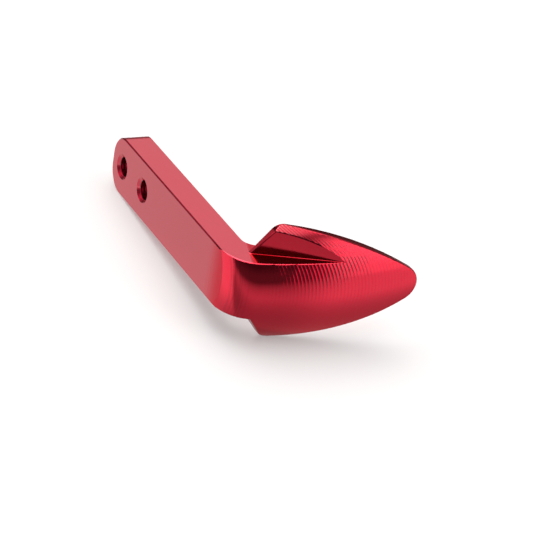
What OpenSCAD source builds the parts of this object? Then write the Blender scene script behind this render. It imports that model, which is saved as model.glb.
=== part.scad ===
// Brake lever guard, milled from one block of aluminium: a straight bar that screws to its carrier,
// a bend, and a leaf-shaped blade that shields the end of the brake lever.
// X runs from the bar's outer face to the blade's tip, Y from the blade's front to the bar's end and
// Z is up. The origin is the middle of the two mounting holes, on the bar's outer face.
// The blade's front is a surface of revolution about an axis that lies behind it, along X.

/* [Bar] */
// Height of the bar
bar_h = 15; // [13:0.5:17]
// Thickness of the straight length
bar_t = 7.4; // [6:0.1:9]
// Length of the bar's outer face, from the datum of the bend to the bar's end
bar_len = 66; // [50:1:90]
// Radius of the two corners at the bar's end
end_r = 6; // [2:0.5:6]
// Edge break along the bar's edges
edge_c = 0.3; // [0.2:0.05:0.6]

/* [Mounting holes] */
// Diameter of the two through holes, the core of an M6 thread
hole_d = 5; // [4:0.1:5.5]
// Diameter of their chamfered mouths
mouth_d = 6.5; // [6:0.1:7]
// Distance between the two holes
hole_pitch = 13; // [11:0.5:20]
// Distance from the bar's end to the first hole
hole_from_end = 6; // [5:0.5:8]

/* [Bend] */
// Radius of the bend outside, along the middle of the bar
bend_outer_r = 9; // [7:0.5:11]
// Radius of the bend inside
bend_inner_r = 3.5; // [2:0.5:5]
// Distance from the bend's datum back to the inside corner of the two legs
leg_back_y = 3.1; // [1:0.1:4]
// Angle by which the rib behind the blade runs forward to the tip
rib_angle = 16.7; // [15:0.1:19]

/* [Blade] */
// Distance from the bar's outer face to the tip
blade_len = 48.5; // [44:0.1:56]
// Radius of the blade's rounded tip, seen from the front
tip_r = 4.8; // [3:0.1:6]
// Radius of the long upper and lower edges, seen from the front
side_r = 89; // [80:1:120]
// Half height of the full outline where its long edges are highest
side_half = 15.8; // [14.5:0.1:17]
// Where the sloping ends of the two wings leave the bar
wing_root_x = 6.3; // [5:0.1:8]
// Slope of the wings' ends above the bar
wing_slope = 53; // [45:1:60]
// Radius of the wings' upper and lower corners
wing_corner_r = 3.5; // [2:0.5:4]

/* [Blade section] */
// Distance of the crown's axis behind the bend's datum
crown_axis_y = 9.8; // [9:0.1:11]
// Largest radius of the crown about its axis
crown_r = 20.6; // [20:0.1:22]
// Radius of the crown's front line, seen from above
crown_line_r = 113; // [95:1:130]
// Where the crown is fullest
crown_peak_x = 30; // [27:0.5:31]
// Back of the wings at the bar's outer face
back_y = 0.7; // [0:0.05:1]
// Thickness of the blade at its tip, which sets the slope of the wings' back
tip_t = 1.5; // [1:0.1:2.5]

/* [Pocket] */
// Where the pocket's wall would cross the bar's outer face
pocket_y = 0.9; // [-0.5:0.05:1.5]
// Angle of the pocket's wall
pocket_angle = 20.4; // [17:0.1:22]

/* [Hidden] */
$fn = 180;
long_arc_fn = 720;
anodised_red = [0.72, 0.09, 0.16];
// How far cutters reach past what they cut, and how deep added solids sit in their neighbours
past = 2;
// Rounds cross the faces beside them by this much, so that each ends on a clean edge
lap = 0.005;
// The bend's round starts this far outside the bar's outer face, which leaves a fine line there
bend_line = 0.06;
mouth_depth = (mouth_d - hole_d) / 2;
half_h = bar_h / 2;
end_y = bar_len - end_r;
hole_y = bar_len - hole_from_end;
mount_y = hole_y - hole_pitch / 2;
// Space that holds the whole blade in front of the crown's axis
reach_x = blade_len + past;
reach_z = side_half + past;
front_y = crown_axis_y - crown_r - past;

// Inside of the bend: the corner of the two legs and the centre of its round
corner_in = [bar_t, leg_back_y];
rib_normal = [sin(rib_angle), cos(rib_angle)];
bend_in = [bar_t + bend_inner_r, leg_back_y + bend_inner_r * (1 - rib_normal[0]) / rib_normal[1]];

// Outline: a lens of two long arcs, rounded at the tip and at the wings' corners
side_drop = side_r - side_half;
tip_x = blade_len - tip_r;
tip_gap = side_r - tip_r + lap;
side_x = tip_x - sqrt(pow(tip_gap, 2) - pow(side_drop, 2));
side_centre = [side_x, -side_drop];
tip_chord_x = side_x + (tip_x - side_x) * side_r / tip_gap;
wing_dir = [cos(wing_slope), sin(wing_slope)];
wing_in = [sin(wing_slope), -cos(wing_slope)];
corner_inset = wing_corner_r - lap;
corner_gap = side_r - corner_inset;
corner_line = [wing_root_x, half_h] + corner_inset * wing_in;
corner_from = corner_line - side_centre;
corner_run = sqrt(pow(corner_from * wing_dir, 2) + pow(corner_gap, 2) - corner_from * corner_from)
    - corner_from * wing_dir;
wing_corner = corner_line + corner_run * wing_dir;
corner_on_end = wing_corner - corner_inset * wing_in;
corner_on_side = side_centre + (wing_corner - side_centre) * side_r / corner_gap;
corner_chord = corner_on_side - corner_on_end;

// Crown profile: distance from the axis against X, the bend's round and then a long arc
line_centre = [crown_r - crown_line_r, crown_peak_x];
bend_gap = crown_line_r - bend_outer_r + lap;
bend_centre_x = bend_outer_r - bend_line;
bend_centre_r = line_centre[0] + sqrt(pow(bend_gap, 2) - pow(crown_peak_x - bend_centre_x, 2));
bend_end_x = crown_peak_x - (crown_peak_x - bend_centre_x) * crown_line_r / bend_gap;

// Back of the wings: flat, and as far behind the crown at the tip as the blade is thick there
tip_crown_r = line_centre[0] + sqrt(pow(crown_line_r, 2) - pow(blade_len - crown_peak_x, 2));
back_slope = (back_y - (crown_axis_y - tip_crown_r + tip_t)) / blade_len;

// The rib ends where it has sunk into the wings' back, short of where the outline is lower than the bar
rib_slope = tan(rib_angle);
rib_fade_x = (leg_back_y + bar_t * rib_slope - back_y) / (rib_slope - back_slope);
rib_high_x = side_x + sqrt(pow(side_r, 2) - pow(side_drop + half_h, 2));
rib_end_x = min(rib_fade_x + past, rib_high_x - past / 2);

// Straight bar from above, with its end's edges broken
module bar_plan() {
    polygon([[-past, front_y], [bar_t + past, front_y], [bar_t + past, bar_len - edge_c - past],
             [bar_t - edge_c, bar_len], [edge_c, bar_len], [-past, bar_len - edge_c - past]]);
}

// Section across the straight bar, with its four edges broken
module bar_section() {
    c = edge_c;
    polygon([[c, -half_h], [bar_t - c, -half_h], [bar_t, c - half_h], [bar_t, half_h - c],
             [bar_t - c, half_h], [c, half_h], [0, half_h - c], [0, c - half_h]]);
}

// Disc with broken edges that the bar's upper end corner is rounded to
module end_disc() {
    r = end_r + lap;
    translate([0, end_y, half_h - end_r])
        rotate([0, 90, 0])
            rotate_extrude()
                polygon([[0, -past], [r - edge_c - past, -past], [r, edge_c], [r, bar_t - edge_c],
                         [r - edge_c - past, bar_t + past], [0, bar_t + past]]);
}

module straight_bar() {
    difference() {
        intersection() {
            translate([0, bar_len + past, 0])
                rotate([90, 0, 0])
                    linear_extrude(bar_len + past - front_y)
                        bar_section();
            linear_extrude(bar_h + past, center = true)
                bar_plan();
        }
        for (s = [0, 1])
            mirror([0, 0, s])
                difference() {
                    translate([-past, end_y, half_h - end_r])
                        cube([bar_t + 2 * past, end_r + past, end_r + past]);
                    end_disc();
                }
    }
}

// Rib behind the blade, with its back edges broken, run forward past the crown
module rib() {
    depth = 2 * crown_r;
    top = half_h + past;
    intersection() {
        translate([corner_in[0], corner_in[1], 0])
            rotate([90, 0, 90 - rib_angle])
                linear_extrude(2 * reach_x, center = true)
                    polygon([[-depth, -top], [-edge_c - past, -top], [0, edge_c - half_h],
                             [0, half_h - edge_c], [-edge_c - past, top], [-depth, top]]);
        translate([bar_t / 2, front_y, -half_h])
            cube([rib_end_x - bar_t / 2, bar_len, bar_h]);
    }
}

// Round of the bend's inside, with its edges broken
module bend_inside() {
    r = bend_inner_r + lap;
    flare = edge_c + past;
    difference() {
        linear_extrude(bar_h, center = true)
            polygon([bend_in, [bar_t - past, bend_in[1]], [bar_t - past, corner_in[1] - past],
                     bend_in - (bend_inner_r + past) * rib_normal]);
        translate([bend_in[0], bend_in[1], 0])
            rotate_extrude()
                polygon([[0, -half_h - past], [r + flare, -half_h - past], [r, edge_c - half_h],
                         [r, half_h - edge_c], [r + flare, half_h + past], [0, half_h + past]]);
    }
}

// Everything to the right of the line through p with direction a
module right_of(p, a) {
    size = 4 * blade_len;
    translate(p)
        rotate(a)
            translate([-size, -size])
                square([2 * size, size]);
}

// Blade from the front: the lens with its end slopes, rounded corners and rounded tip
module blade_outline() {
    intersection() {
        translate([side_x, -side_drop])
            circle(side_r, $fn = long_arc_fn);
        translate([side_x, side_drop])
            circle(side_r, $fn = long_arc_fn);
        translate([0, -reach_z])
            square([tip_chord_x, 2 * reach_z]);
        wing_end();
        mirror([0, 1])
            wing_end();
    }
    translate([tip_x, 0])
        circle(tip_r);
    for (s = [0, 1])
        mirror([0, s])
            translate(wing_corner)
                circle(wing_corner_r);
}

// What the upper wing's end slope and the chord of its corner leave of the outline
module wing_end() {
    intersection() {
        right_of([wing_root_x, half_h], wing_slope);
        right_of(corner_on_end, atan2(corner_chord[1], corner_chord[0]));
    }
}

// Wings and tip: the outline run from front to back, as far as the flat back of the wings
module leaf() {
    intersection() {
        rotate([90, 0, 0])
            linear_extrude(-2 * front_y, center = true)
                blade_outline();
        linear_extrude(2 * reach_z, center = true)
            polygon([[0, front_y], [reach_x, front_y],
                     [reach_x, back_y - reach_x * back_slope], [0, back_y]]);
    }
}

// Pocket that leaves the upper wing as a wall behind the bar's top face
module pocket() {
    translate([0, 0, half_h])
        linear_extrude(reach_z)
            polygon([[-past, pocket_y + past * tan(pocket_angle)], [-past, 2 * front_y],
                     [reach_x, 2 * front_y], [reach_x, pocket_y - reach_x * tan(pocket_angle)]]);
}

// Solid of revolution whose surface is the front of the blade and the outside of the bend
module crown() {
    translate([0, crown_axis_y, 0])
        rotate([0, 90, 0])
            rotate_extrude()
                crown_profile();
}

module crown_profile() {
    translate([0, -past])
        square([bend_centre_r, bend_end_x + 2 * past]);
    intersection() {
        translate([bend_centre_r, bend_centre_x])
            circle(bend_outer_r);
        translate([0, -past])
            square([2 * crown_r, reach_x]);
    }
    intersection() {
        translate(line_centre)
            circle(crown_line_r, $fn = long_arc_fn);
        translate([0, bend_end_x])
            square([2 * crown_r, reach_x + past]);
    }
}

// What the crown takes off the front of the block
module front_cut() {
    difference() {
        translate([-past / 2, 2 * front_y, -reach_z])
            cube([reach_x + past / 2, crown_axis_y - 2 * front_y, 2 * reach_z]);
        crown();
    }
}

// Mounting hole with a chamfered mouth on both faces, its axis along X
module hole() {
    rotate([0, 90, 0]) {
        translate([0, 0, -past])
            cylinder(h = bar_t + 2 * past, d = hole_d);
        translate([0, 0, -mouth_depth])
            cylinder(h = 2 * mouth_depth, d1 = mouth_d + 2 * mouth_depth, d2 = hole_d);
        translate([0, 0, bar_t - mouth_depth])
            cylinder(h = 2 * mouth_depth, d1 = hole_d, d2 = mouth_d + 2 * mouth_depth);
    }
}

module lever_guard() {
    color(anodised_red)
        translate([0, -mount_y, 0])
            difference() {
                union() {
                    straight_bar();
                    rib();
                    bend_inside();
                    leaf();
                }
                front_cut();
                pocket();
                for (i = [0, 1])
                    translate([0, hole_y - i * hole_pitch, 0])
                        hole();
            }
}

lever_guard();
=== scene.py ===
# Looks of the brake lever guard: one milled piece of aluminium, anodised red, resting on a pale table.

import math

import bmesh
import bpy
from mathutils import Matrix, Vector


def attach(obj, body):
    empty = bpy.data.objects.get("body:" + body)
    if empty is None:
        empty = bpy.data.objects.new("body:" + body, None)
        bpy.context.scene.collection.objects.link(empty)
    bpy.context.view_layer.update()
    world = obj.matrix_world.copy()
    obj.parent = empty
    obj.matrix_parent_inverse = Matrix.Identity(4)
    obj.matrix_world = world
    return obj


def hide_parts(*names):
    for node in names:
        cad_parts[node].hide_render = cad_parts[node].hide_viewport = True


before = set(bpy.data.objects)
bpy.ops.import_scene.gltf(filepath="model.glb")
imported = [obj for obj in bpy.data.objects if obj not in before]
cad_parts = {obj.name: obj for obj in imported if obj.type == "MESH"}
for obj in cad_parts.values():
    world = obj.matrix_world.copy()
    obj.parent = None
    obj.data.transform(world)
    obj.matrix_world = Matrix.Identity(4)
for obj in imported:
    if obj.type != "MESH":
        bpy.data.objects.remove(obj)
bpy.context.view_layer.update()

MM = 0.001
PHOTO_SIZE = 544

# Sizes are in millimetres. The origin is between the two holes, and the bend's datum lies at this y
BEND_Y = -53.5
HOLE_PITCH = 13.0
HOLE_RADIUS = 2.5

# The crowned front turns about an axis along X: the bend's round runs into one long arc
CROWN_AXIS_Y = 9.8
CROWN_R = 20.6
CROWN_LINE_R = 113.0
CROWN_PEAK_X = 30.0
BEND_OUTER_R = 9.0
# The round starts this far outside the bar's outer face, and the long arc laps it by a hair
BEND_LINE = 0.06
LAP = 0.005
BEND_CENTRE_X = BEND_OUTER_R - BEND_LINE
BEND_GAP = CROWN_LINE_R - BEND_OUTER_R + LAP
BEND_CENTRE_R = CROWN_R - CROWN_LINE_R + math.sqrt(BEND_GAP ** 2 - (CROWN_PEAK_X - BEND_CENTRE_X) ** 2)
BEND_END_X = CROWN_PEAK_X - (CROWN_PEAK_X - BEND_CENTRE_X) * CROWN_LINE_R / BEND_GAP

# Corners of the mesh this close together are one corner
SAME_CORNER = 0.002
# A point this close to the front lies on it, and a new one this close is moved onto it
ON_FRONT = 0.004
NEAR_FRONT = 0.03
# Longest edge that each pass over the front leaves whole
REFINED_EDGES = (1.2, 0.7, 0.7)
# Sizes of the broken outer edges, and of the round that the cutter leaves along inner ones
EDGE_BREAK = 0.24
INNER_ROUND = 0.12
# Edges that turn by more degrees than this are sharp; the second is for edges of the front
SHARP_TURN = 50
SHARP_TURN_ON_FRONT = 36
# Faces that turn by fewer degrees than these are one flat face, and are shaded as one surface
FLAT_TURN = 0.05
SMOOTH_TURN = 32
# Cosines of the angles within which a face belongs to the front, and shares its normals with its neighbours
AGREES_WITH_FRONT = 0.97
AGREES_WITH_NEXT = 0.87

# The cutter's arcs across the front: radius, how far their middle lies below the blade's, and pitch
ARC_RADIUS = 18.0
ARC_DROP = 0.7
ARC_PITCH = 0.92
# The finer passes over the top of the blade: pitch along x, and lean from upright
PASS_PITCH = 0.87
PASS_LEAN = 1.38
# Line where the cutter's first pass meets the bend
FIRST_PASS_X = 1.35
# How often the finish changes in a millimetre along x, y and z, and how often where it is the same all ways
BAR_LINES = (9.0, 0.35, 9.0)
FRONT_LINES = (7.0, 0.3, 0.4)
STROKES = (3.4, 0.06, 0.05)
PATCHES = 0.35
GRAIN = 9.0
# Depths of the marks; lines and strokes are deeper by the second value on the bend
ARC_DEPTH = 0.036
PASS_DEPTH = 0.022
FIRST_PASS_DEPTH = 0.010
LINE_DEPTH = 0.005
LINE_DEPTH_ON_BEND = 0.006
STROKE_DEPTH = 0.003
STROKE_DEPTH_ON_BEND = 0.020
GRAIN_DEPTH = 0.001
THREAD_DEPTH = 0.12

# Dyed metal on the front and on the bar's flat faces; then the dyed red darkened as painted shade along the
# cutter's marks and in the threads
RED = (0.62, 0.008, 0.030, 1.0)
BAR_RED = (0.62, 0.014, 0.048, 1.0)
GROOVE_SHADE_RED = (0.15, 0.002, 0.007, 1.0)
THREAD_SHADE_RED = (0.06, 0.001, 0.003, 1.0)
# What the dye leaves of white light at a grazing angle
EDGE_RED = (1.0, 0.5, 0.5, 1.0)
TABLE_GREY = (0.75, 0.73, 0.72, 1.0)
WHITE = (1.0, 1.0, 1.0, 1.0)

# The table touches the lower wing's corner and the far end of the bar
TABLE_TILT = math.radians(6.90)
TABLE_HEIGHT = -8.334
TABLE_METRES = 5.0
# Share of its own light in what the camera sees of it
TABLE_GLOW = 0.3
# Its front part starts here, and the light that the metal sees there falls off over this length
TABLE_FRONT_Y = -62.0
TABLE_FALL_OFF = 125.0

# Levels of the dark room, of its horizon and of the soft panels, and the right-hand panel's turn about Z
ROOM_LEVEL = 0.06
HORIZON_LEVEL = 0.08
OVERHEAD_LEVEL = 1.8
ZENITH_LEVEL = 0.7
RIGHT_LEVEL = 1.5
RIGHT_TOP_LEVEL = 0.8
LEFT_LEVEL = 2.1
BACK_LEVEL = 0.80
WINDOW_LEVEL = 2.4
RIGHT_TURN = math.radians(20)

# Camera, fitted to the guard's edges in the photograph
CAMERA_FOCAL_PX = 2640.2
CAMERA_PLACE = (-262.54, -482.62 + BEND_Y, 288.81)
CAMERA_RIGHT = (0.89379, -0.42323, 0.14837)
CAMERA_DOWN = (-0.08013, -0.4762, -0.87568)
CAMERA_AHEAD = (0.44126, 0.77078, -0.45954)
SENSOR_WIDTH = 36.0


def use_only(piece):
    bpy.ops.object.select_all(action="DESELECT")
    piece.select_set(True)
    bpy.context.view_layer.objects.active = piece


class Value:
    """A shader value; Python's operators on it add the Math nodes."""

    def __init__(self, shader, socket):
        self.shader = shader
        self.socket = socket

    def maths(self, operation, *others):
        operands = [self.socket] + [other.socket if isinstance(other, Value) else other for other in others]
        return self.shader.node("ShaderNodeMath", {"operation": operation}, dict(enumerate(operands)))

    def __add__(self, other):
        return self.maths("ADD", other)

    __radd__ = __add__

    def __mul__(self, other):
        return self.maths("MULTIPLY", other)

    __rmul__ = __mul__

    def __sub__(self, other):
        return self.maths("SUBTRACT", other)

    def __rsub__(self, other):
        return self.maths("MULTIPLY", -1.0).maths("ADD", other)

    def __truediv__(self, other):
        return self.maths("DIVIDE", other)

    def __abs__(self):
        return self.maths("ABSOLUTE")

    def __pow__(self, other):
        return self.maths("POWER", other)

    def root(self):
        return self.maths("MAXIMUM", 0.0).maths("SQRT")

    def ridges(self):
        """1 at every whole number, straight down to 0 halfway between two."""
        return abs(self.maths("FRACT") * 2.0 - 1.0)

    def rise(self, low, high):
        """0 below low, 1 above high, smooth between; low may be above high for a fall."""
        return self.shader.node("ShaderNodeMapRange", {"interpolation_type": "SMOOTHSTEP"},
                                {0: self.socket, 1: low, 2: high, 3: 0.0, 4: 1.0})


class Shader:
    """A material or world tree whose nodes are added by one method."""

    def __init__(self, owner):
        owner.use_nodes = True
        self.tree = owner.node_tree
        self.tree.nodes.clear()

    def node(self, kind, settings=None, inputs=None, output=0):
        made = self.tree.nodes.new(kind)
        for name, setting in (settings or {}).items():
            setattr(made, name, setting)
        for name, value in (inputs or {}).items():
            value = value.socket if isinstance(value, Value) else value
            if isinstance(value, bpy.types.NodeSocket):
                self.tree.links.new(value, made.inputs[name])
            else:
                made.inputs[name].default_value = value
        return Value(self, made.outputs[output]) if len(made.outputs) else None

    def separate(self, vector):
        made = self.node("ShaderNodeSeparateXYZ", inputs={0: vector}).socket.node
        return [Value(self, made.outputs[name]) for name in "XYZ"]

    def place(self):
        """A point's place on its piece, in millimetres."""
        metres = self.node("ShaderNodeTexCoord", output="Object")
        return self.node("ShaderNodeVectorMath", {"operation": "SCALE"}, {0: metres, "Scale": 1 / MM})

    def noise(self, place, scale, detail, roughness):
        """Soft noise from 0 to 1; three scales stretch it, one leaves it the same all ways."""
        if isinstance(scale, tuple):
            place = self.node("ShaderNodeMapping", inputs={"Vector": place, "Scale": scale})
            scale = 1.0
        return self.node("ShaderNodeTexNoise", {"noise_dimensions": "3D"},
                         {"Vector": place, "Scale": scale, "Detail": detail, "Roughness": roughness})

    def mix(self, share, first, second):
        return self.node("ShaderNodeMix", {"data_type": "RGBA"}, {0: share, 6: first, 7: second}, output=2)


def from_crown_axis(point):
    """A point of the mesh in millimetres, with y and z counted from the crown's axis."""
    return point.x / MM, point.y / MM - BEND_Y - CROWN_AXIS_Y, point.z / MM


def crown_radius(x):
    """Distance of the front from its axis at x: the bend's round, then the long arc."""
    if x > BEND_END_X:
        return CROWN_R - CROWN_LINE_R + math.sqrt(CROWN_LINE_R ** 2 - (x - CROWN_PEAK_X) ** 2)
    return BEND_CENTRE_R + math.sqrt(max(BEND_OUTER_R ** 2 - (x - BEND_CENTRE_X) ** 2, 0.0))


def crown_slope(x):
    """How fast that distance grows with x."""
    if x > BEND_END_X:
        return (CROWN_PEAK_X - x) / math.sqrt(CROWN_LINE_R ** 2 - (x - CROWN_PEAK_X) ** 2)
    return (BEND_CENTRE_X - x) / math.sqrt(max(BEND_OUTER_R ** 2 - (x - BEND_CENTRE_X) ** 2, 0.01))


def on_crown(point, slack):
    """Whether a point of the mesh lies on the front."""
    x, y, z = from_crown_axis(point)
    return x > 0.02 and y < 0.0 and abs(math.hypot(y, z) - crown_radius(x)) < slack


def crown_normal(point):
    x, y, z = from_crown_axis(point)
    out = math.hypot(y, z)
    return Vector((-crown_slope(x), y / out, z / out)).normalized()


def anodised_aluminium():
    """Red anodised metal under a clear oxide layer, with the marks that the cutter leaves."""
    material = bpy.data.materials.new("red_anodised_aluminium")
    shader = Shader(material)
    place = shader.place()
    x, y, z = shader.separate(place)
    y = y - BEND_Y

    # The crowned front, which is glossier than the bar's flat faces
    from_axis = ((y - CROWN_AXIS_Y) ** 2.0 + z ** 2.0).root()
    bend = (BEND_OUTER_R ** 2 - (x - BEND_CENTRE_X) ** 2.0).root() + BEND_CENTRE_R
    line = (CROWN_LINE_R ** 2 - (x - CROWN_PEAK_X) ** 2.0).root() + (CROWN_R - CROWN_LINE_R)
    profile = bend + (line - bend) * x.rise(BEND_END_X - 0.05, BEND_END_X + 0.05)
    front = abs(from_axis - profile).rise(0.14, 0.08) * x.rise(0.02, 0.06) * y.rise(3.2, 2.8)
    on_bend = x.rise(6.0, 2.0) * front
    # The bar's flat faces, whose finish runs out into the bend's and ends where the blade's rib begins
    near_bend = y.rise(8.0, 0.0) * abs(z).rise(7.46, 7.40)
    flat = (1.0 - front) * (1.0 - near_bend) * abs(z).rise(7.7, 7.6) * (x - y * 0.3).rise(7.0, 6.2)

    # The cutter's arcs bulge towards the tip, and are clearest above the blade's middle and past the bend
    arc = (ARC_RADIUS ** 2 - (z + ARC_DROP) ** 2.0).root()
    cusp = ((x - arc) / ARC_PITCH).ridges() ** 2.0
    near_tip = x.rise(30.0, 42.0)
    near_top = z.rise(8.0, 9.5)
    strong = z.rise(-7.0, 4.5) * x.rise(6.0, 13.0) * (1.0 - 0.55 * near_tip) * front * (1.0 - 0.75 * near_top)
    uneven = shader.noise(place, PATCHES, 2.0, 0.5)
    marks = cusp * strong * (0.5 + 0.5 * uneven.rise(0.3, 0.7))

    # Finer passes over the top of the blade, clearest by its corner, and the line of the first pass
    top_of_blade = front * z.rise(7.6, 9.0)
    near_corner = top_of_blade * x.rise(21.0, 12.0)
    clear = top_of_blade * x.rise(46.0, 34.0) * 0.35 + near_corner * 0.65
    passes = ((x + z * PASS_LEAN) / PASS_PITCH).ridges() * clear
    first_pass = abs(x - FIRST_PASS_X).rise(0.16, 0.03) * front

    # Fine lines along the bar and down the front, broad strokes down the front, and the metal's grain
    bar_lines = shader.noise(place, BAR_LINES, 3.0, 0.6)
    front_lines = shader.noise(place, FRONT_LINES, 3.0, 0.6)
    lines = bar_lines * (1.0 - front) + front_lines * front
    strokes = shader.noise(place, STROKES, 2.0, 0.5) * front
    grain = shader.noise(place, GRAIN, 2.0, 0.7)

    # Thread in the two mounting holes, a ridge in each millimetre
    from_hole_y = abs(y + BEND_Y) - HOLE_PITCH / 2
    from_hole = (from_hole_y ** 2.0 + z ** 2.0).root()
    in_hole = from_hole.rise(HOLE_RADIUS + 0.12, HOLE_RADIUS + 0.02)
    thread = x.ridges() * in_hole

    height = (marks * ARC_DEPTH + lines * (LINE_DEPTH + on_bend * LINE_DEPTH_ON_BEND)
              + strokes * (STROKE_DEPTH + on_bend * STROKE_DEPTH_ON_BEND) + grain * GRAIN_DEPTH
              + passes * PASS_DEPTH + first_pass * FIRST_PASS_DEPTH + thread * THREAD_DEPTH)
    bump = shader.node("ShaderNodeBump", inputs={"Strength": 1.0, "Distance": MM, "Height": height})

    # The bar's flat faces are rougher and hazier, and so are the passes by the blade's corner
    roughness = 0.11 + grain * 0.04 + lines * 0.03 + flat * 0.18
    haze = 0.35 + flat * 0.65 + near_corner * (0.65 - passes * 0.6)
    tone = flat * 0.8 + lines * 0.1 + strokes * 0.2
    # Painted shade: the red darkens along the cutter's arcs, in the lines between the passes and along the
    # strokes on the bend
    groove_shade = marks * 0.36 + passes * 0.9 + strokes.rise(0.45, 0.7) * on_bend * 0.32
    colour = shader.mix(tone, RED, BAR_RED)
    colour = shader.mix(groove_shade, colour, GROOVE_SHADE_RED)
    # Painted shade in the threaded bores: their red goes nearly black where the thread traps the light
    colour = shader.mix(in_hole * 0.85, colour, THREAD_SHADE_RED)
    surface = shader.node("ShaderNodeBsdfPrincipled", inputs={
        "Base Color": colour, "Metallic": 1.0, "Specular Tint": EDGE_RED, "Roughness": roughness,
        "Normal": bump, "Coat Weight": haze, "Coat Roughness": 0.12, "Coat IOR": 1.6})
    shader.node("ShaderNodeOutputMaterial", inputs={"Surface": surface})
    return material


def break_edges(guard, convex, size):
    """Rounds the outer or the inner edges that the solid leaves sharp; the new faces get the second slot."""
    shape = bmesh.from_edit_mesh(guard.data)
    bpy.ops.mesh.select_all(action="DESELECT")
    for edge in shape.edges:
        if len(edge.link_faces) == 2 and edge.is_convex == convex:
            turn = math.degrees(edge.calc_face_angle())
            on_front = all(on_crown(end.co, ON_FRONT) for end in edge.verts)
            edge.select_set(turn > SHARP_TURN or (turn > SHARP_TURN_ON_FRONT and on_front))
    bmesh.update_edit_mesh(guard.data)
    bpy.ops.mesh.bevel(offset_type="OFFSET", offset=size * MM, segments=3, profile=0.5, clamp_overlap=False,
                       material=1)


def refine_crown(guard):
    """Splits the long edges of the front and sets every point of it on the true surface."""
    shape = bmesh.from_edit_mesh(guard.data)
    for face in shape.faces:
        face.select_set(all(on_crown(corner.co, ON_FRONT) for corner in face.verts))
    bmesh.update_edit_mesh(guard.data)
    bpy.ops.mesh.quads_convert_to_tris(quad_method="BEAUTY", ngon_method="BEAUTY")
    for longest in REFINED_EDGES:
        shape = bmesh.from_edit_mesh(guard.data)
        for edge in shape.edges:
            edge.select_set(all(on_crown(end.co, ON_FRONT) for end in edge.verts)
                            and edge.calc_length() > longest * MM)
        bmesh.update_edit_mesh(guard.data)
        bpy.ops.mesh.subdivide(number_cuts=1)
        shape = bmesh.from_edit_mesh(guard.data)
        for point in shape.verts:
            if point.select and on_crown(point.co, NEAR_FRONT):
                x, y, z = from_crown_axis(point.co)
                grow = crown_radius(x) / math.hypot(y, z)
                point.co = Vector((x, y * grow + BEND_Y + CROWN_AXIS_Y, z * grow)) * MM
        bmesh.update_edit_mesh(guard.data)
    bpy.ops.mesh.select_all(action="SELECT")
    bpy.ops.mesh.dissolve_degenerate(threshold=ON_FRONT * MM)


def set_normals(guard):
    """Flat faces stay flat, the front has the normals of the true surface, and broken edges run between."""
    mesh = guard.data
    around = [[] for vertex in mesh.vertices]
    front = []
    for face in mesh.polygons:
        points = [mesh.vertices[i].co for i in face.vertices]
        is_front = (face.material_index == 0 and all(on_crown(point, ON_FRONT) for point in points)
                    and face.normal.dot(crown_normal(face.center)) > AGREES_WITH_FRONT)
        front.append(is_front)
        if face.material_index == 0:
            for i, point in zip(face.vertices, points):
                normal = crown_normal(point) if is_front else face.normal.copy()
                around[i].append((normal, face.area))
    normals = [Vector(corner.vector) for corner in mesh.corner_normals]
    for face in mesh.polygons:
        for corner, i in zip(face.loop_indices, face.vertices):
            own = crown_normal(mesh.vertices[i].co) if front[face.index] else face.normal
            near = around[i]
            if face.material_index == 0:
                near = [(normal, area) for normal, area in near if normal.dot(own) > AGREES_WITH_NEXT]
            total = sum((normal * area for normal, area in near), Vector())
            if front[face.index]:
                normals[corner] = own
            elif total.length > 0:
                normals[corner] = total.normalized()
    mesh.normals_split_custom_set(normals)


def make_guard(cad_node, finish):
    """The guard itself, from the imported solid, with its sharp edges broken and its front made smooth."""
    guard = cad_node.copy()
    guard.data = cad_node.data.copy()
    guard.parent = None
    guard.name = "milled_guard"
    guard.data.name = "milled_guard"
    # The labels that the CAD node carries aren't the copy's
    for key in list(guard.keys()):
        del guard[key]
    bpy.context.scene.collection.objects.link(guard)
    # The second slot only marks the broken edges until their normals are set
    guard.data.materials.clear()
    guard.data.materials.append(finish)
    guard.data.materials.append(finish)
    use_only(guard)
    bpy.ops.object.mode_set(mode="EDIT")
    bpy.ops.mesh.select_mode(type="EDGE")
    bpy.ops.mesh.select_all(action="SELECT")
    bpy.ops.mesh.remove_doubles(threshold=SAME_CORNER * MM)
    bpy.ops.mesh.customdata_custom_splitnormals_clear()
    bpy.ops.mesh.dissolve_limited(angle_limit=math.radians(FLAT_TURN))
    break_edges(guard, False, INNER_ROUND)
    break_edges(guard, True, EDGE_BREAK)
    refine_crown(guard)
    bpy.ops.object.mode_set(mode="OBJECT")
    bpy.ops.object.shade_smooth_by_angle(angle=math.radians(SMOOTH_TURN))
    set_normals(guard)
    for face in guard.data.polygons:
        face.material_index = 0
    guard.data.materials.pop(index=1)
    return guard


def table_level(x, y):
    """Brightness of the table as the metal sees it: light close by, and out of the light further away."""
    # In front it falls off with distance, stays light to the right, and the blade's own shade lies close by
    ahead = TABLE_FRONT_Y - y
    fall_off = 0.85 * (ahead * (-1.0 / TABLE_FALL_OFF)).maths("EXPONENT")
    sideways = (x - 1.0) / (-5.0 - y)
    to_right = sideways.rise(0.22, 0.48) * sideways.rise(2.6, 1.6)
    in_front = 0.10 + (fall_off + (1.10 - fall_off) * to_right) * (0.40 + 0.60 * ahead.rise(0.0, 32.0))
    # Left of the bend it is in full light, behind only the nearest part is, and under the bar there is little
    beside = 0.55 + 0.90 * x.rise(4.0, -26.0)
    behind = 0.10 + 0.75 * y.rise(110.0, 35.0) * x.rise(110.0, 65.0)
    to_left = ((y - TABLE_FRONT_Y) / (3.0 - x)).rise(1.5, 1.0) * x.rise(2.0, -3.0)
    underneath = x.rise(-5.0, 4.0) * y.rise(-25.0, -48.0)
    back = (behind + (beside - behind) * to_left) * (1.0 - 0.6 * underneath)
    front_side = (y + 59.5 - x * 0.09).rise(1.0, -1.5)
    return back + (in_front - back) * front_side


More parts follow.
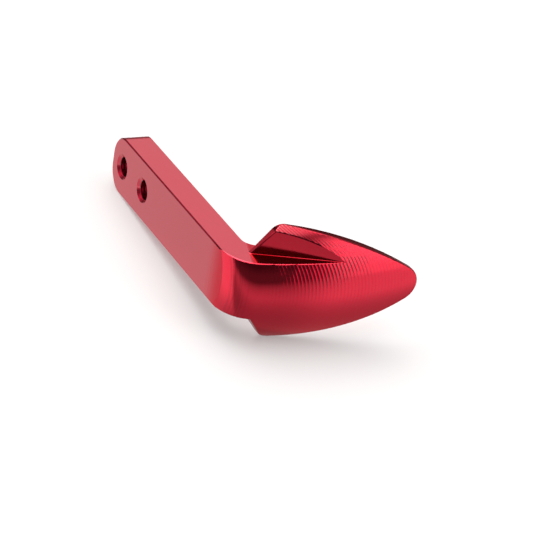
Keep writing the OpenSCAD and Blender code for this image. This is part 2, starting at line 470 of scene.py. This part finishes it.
def make_table():
    """Pale table that the guard rests on."""
    bpy.ops.mesh.primitive_plane_add(size=TABLE_METRES)
    table = bpy.context.object
    table.name = "pale_table"
    turn = Matrix.Rotation(TABLE_TILT, 4, "X")
    table.data.transform(Matrix.Translation((0, 0, TABLE_HEIGHT * MM)) @ turn)
    material = bpy.data.materials.new("pale_table")
    shader = Shader(material)
    x, y = shader.separate(shader.place())[:2]
    lit = shader.node("ShaderNodeBsdfDiffuse", inputs={"Color": TABLE_GREY})
    glow = shader.node("ShaderNodeEmission", inputs={"Color": WHITE, "Strength": 1.0})
    mirrored = shader.node("ShaderNodeEmission", inputs={"Color": table_level(x, y), "Strength": 1.0})
    glossy_ray = shader.node("ShaderNodeLightPath", output="Is Glossy Ray")
    camera_ray = shader.node("ShaderNodeLightPath", output="Is Camera Ray")
    seen = shader.node("ShaderNodeMixShader", inputs={0: TABLE_GLOW, 1: lit, 2: glow})
    plain = shader.node("ShaderNodeMixShader", inputs={0: camera_ray, 1: lit, 2: seen})
    surface = shader.node("ShaderNodeMixShader", inputs={0: glossy_ray, 1: plain, 2: mirrored})
    shader.node("ShaderNodeOutputMaterial", inputs={"Surface": surface})
    table.data.materials.append(material)


def make_world():
    """Dark studio with soft panels overhead, right of the camera, left and behind, and a high window."""
    world = bpy.data.worlds.new("studio")
    bpy.context.scene.world = world
    shader = Shader(world)
    x, y, z = shader.separate(shader.node("ShaderNodeTexCoord", output="Generated"))
    horizon = z.rise(0.25, 0.0)
    overhead = z.rise(0.72, 0.82)
    zenith = z.rise(0.84, 0.93)
    turned = x * math.cos(RIGHT_TURN) + y * math.sin(RIGHT_TURN)
    right_panel = turned.rise(-0.03, 0.12) * y.rise(-0.34, -0.52) * z.rise(0.80, 0.55)
    right_level = RIGHT_LEVEL + RIGHT_TOP_LEVEL * z.rise(0.0, 0.3)
    left_panel = y.rise(-0.04, 0.06) * y.rise(0.88, 0.56) * x.rise(-0.35, -0.60) * z.rise(0.5, 0.3)
    back_panel = y.rise(0.2, 0.5) * x.rise(-0.10, 0.15) * z.rise(0.24, 0.40)
    window = (y * 0.9 - x * 0.44).rise(0.10, 0.45) * z.rise(0.60, 0.72)
    level = (ROOM_LEVEL + HORIZON_LEVEL * horizon + overhead * OVERHEAD_LEVEL + zenith * ZENITH_LEVEL
             + right_panel * right_level + left_panel * LEFT_LEVEL + back_panel * BACK_LEVEL
             + window * WINDOW_LEVEL)
    camera_ray = shader.node("ShaderNodeLightPath", output="Is Camera Ray")
    strength = level * (1.0 - camera_ray) + camera_ray
    lit = shader.node("ShaderNodeBackground", inputs={"Color": WHITE, "Strength": strength})
    shader.node("ShaderNodeOutputWorld", inputs={"Surface": lit})


def make_camera():
    data = bpy.data.cameras.new("photo_camera")
    camera = bpy.data.objects.new("photo_camera", data)
    bpy.context.scene.collection.objects.link(camera)
    data.sensor_width = SENSOR_WIDTH
    data.lens = CAMERA_FOCAL_PX * SENSOR_WIDTH / PHOTO_SIZE
    right = Vector(CAMERA_RIGHT)
    up = -Vector(CAMERA_DOWN)
    back = -Vector(CAMERA_AHEAD)
    turn = Matrix((right, up, back)).transposed().to_4x4()
    camera.matrix_world = Matrix.Translation(Vector(CAMERA_PLACE) * MM) @ turn
    bpy.context.scene.camera = camera


guard = make_guard(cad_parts["lever_guard"], anodised_aluminium())
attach(guard, "root")
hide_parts("lever_guard")

make_table()
make_camera()
make_world()

bpy.context.scene.view_settings.view_transform = "Standard"
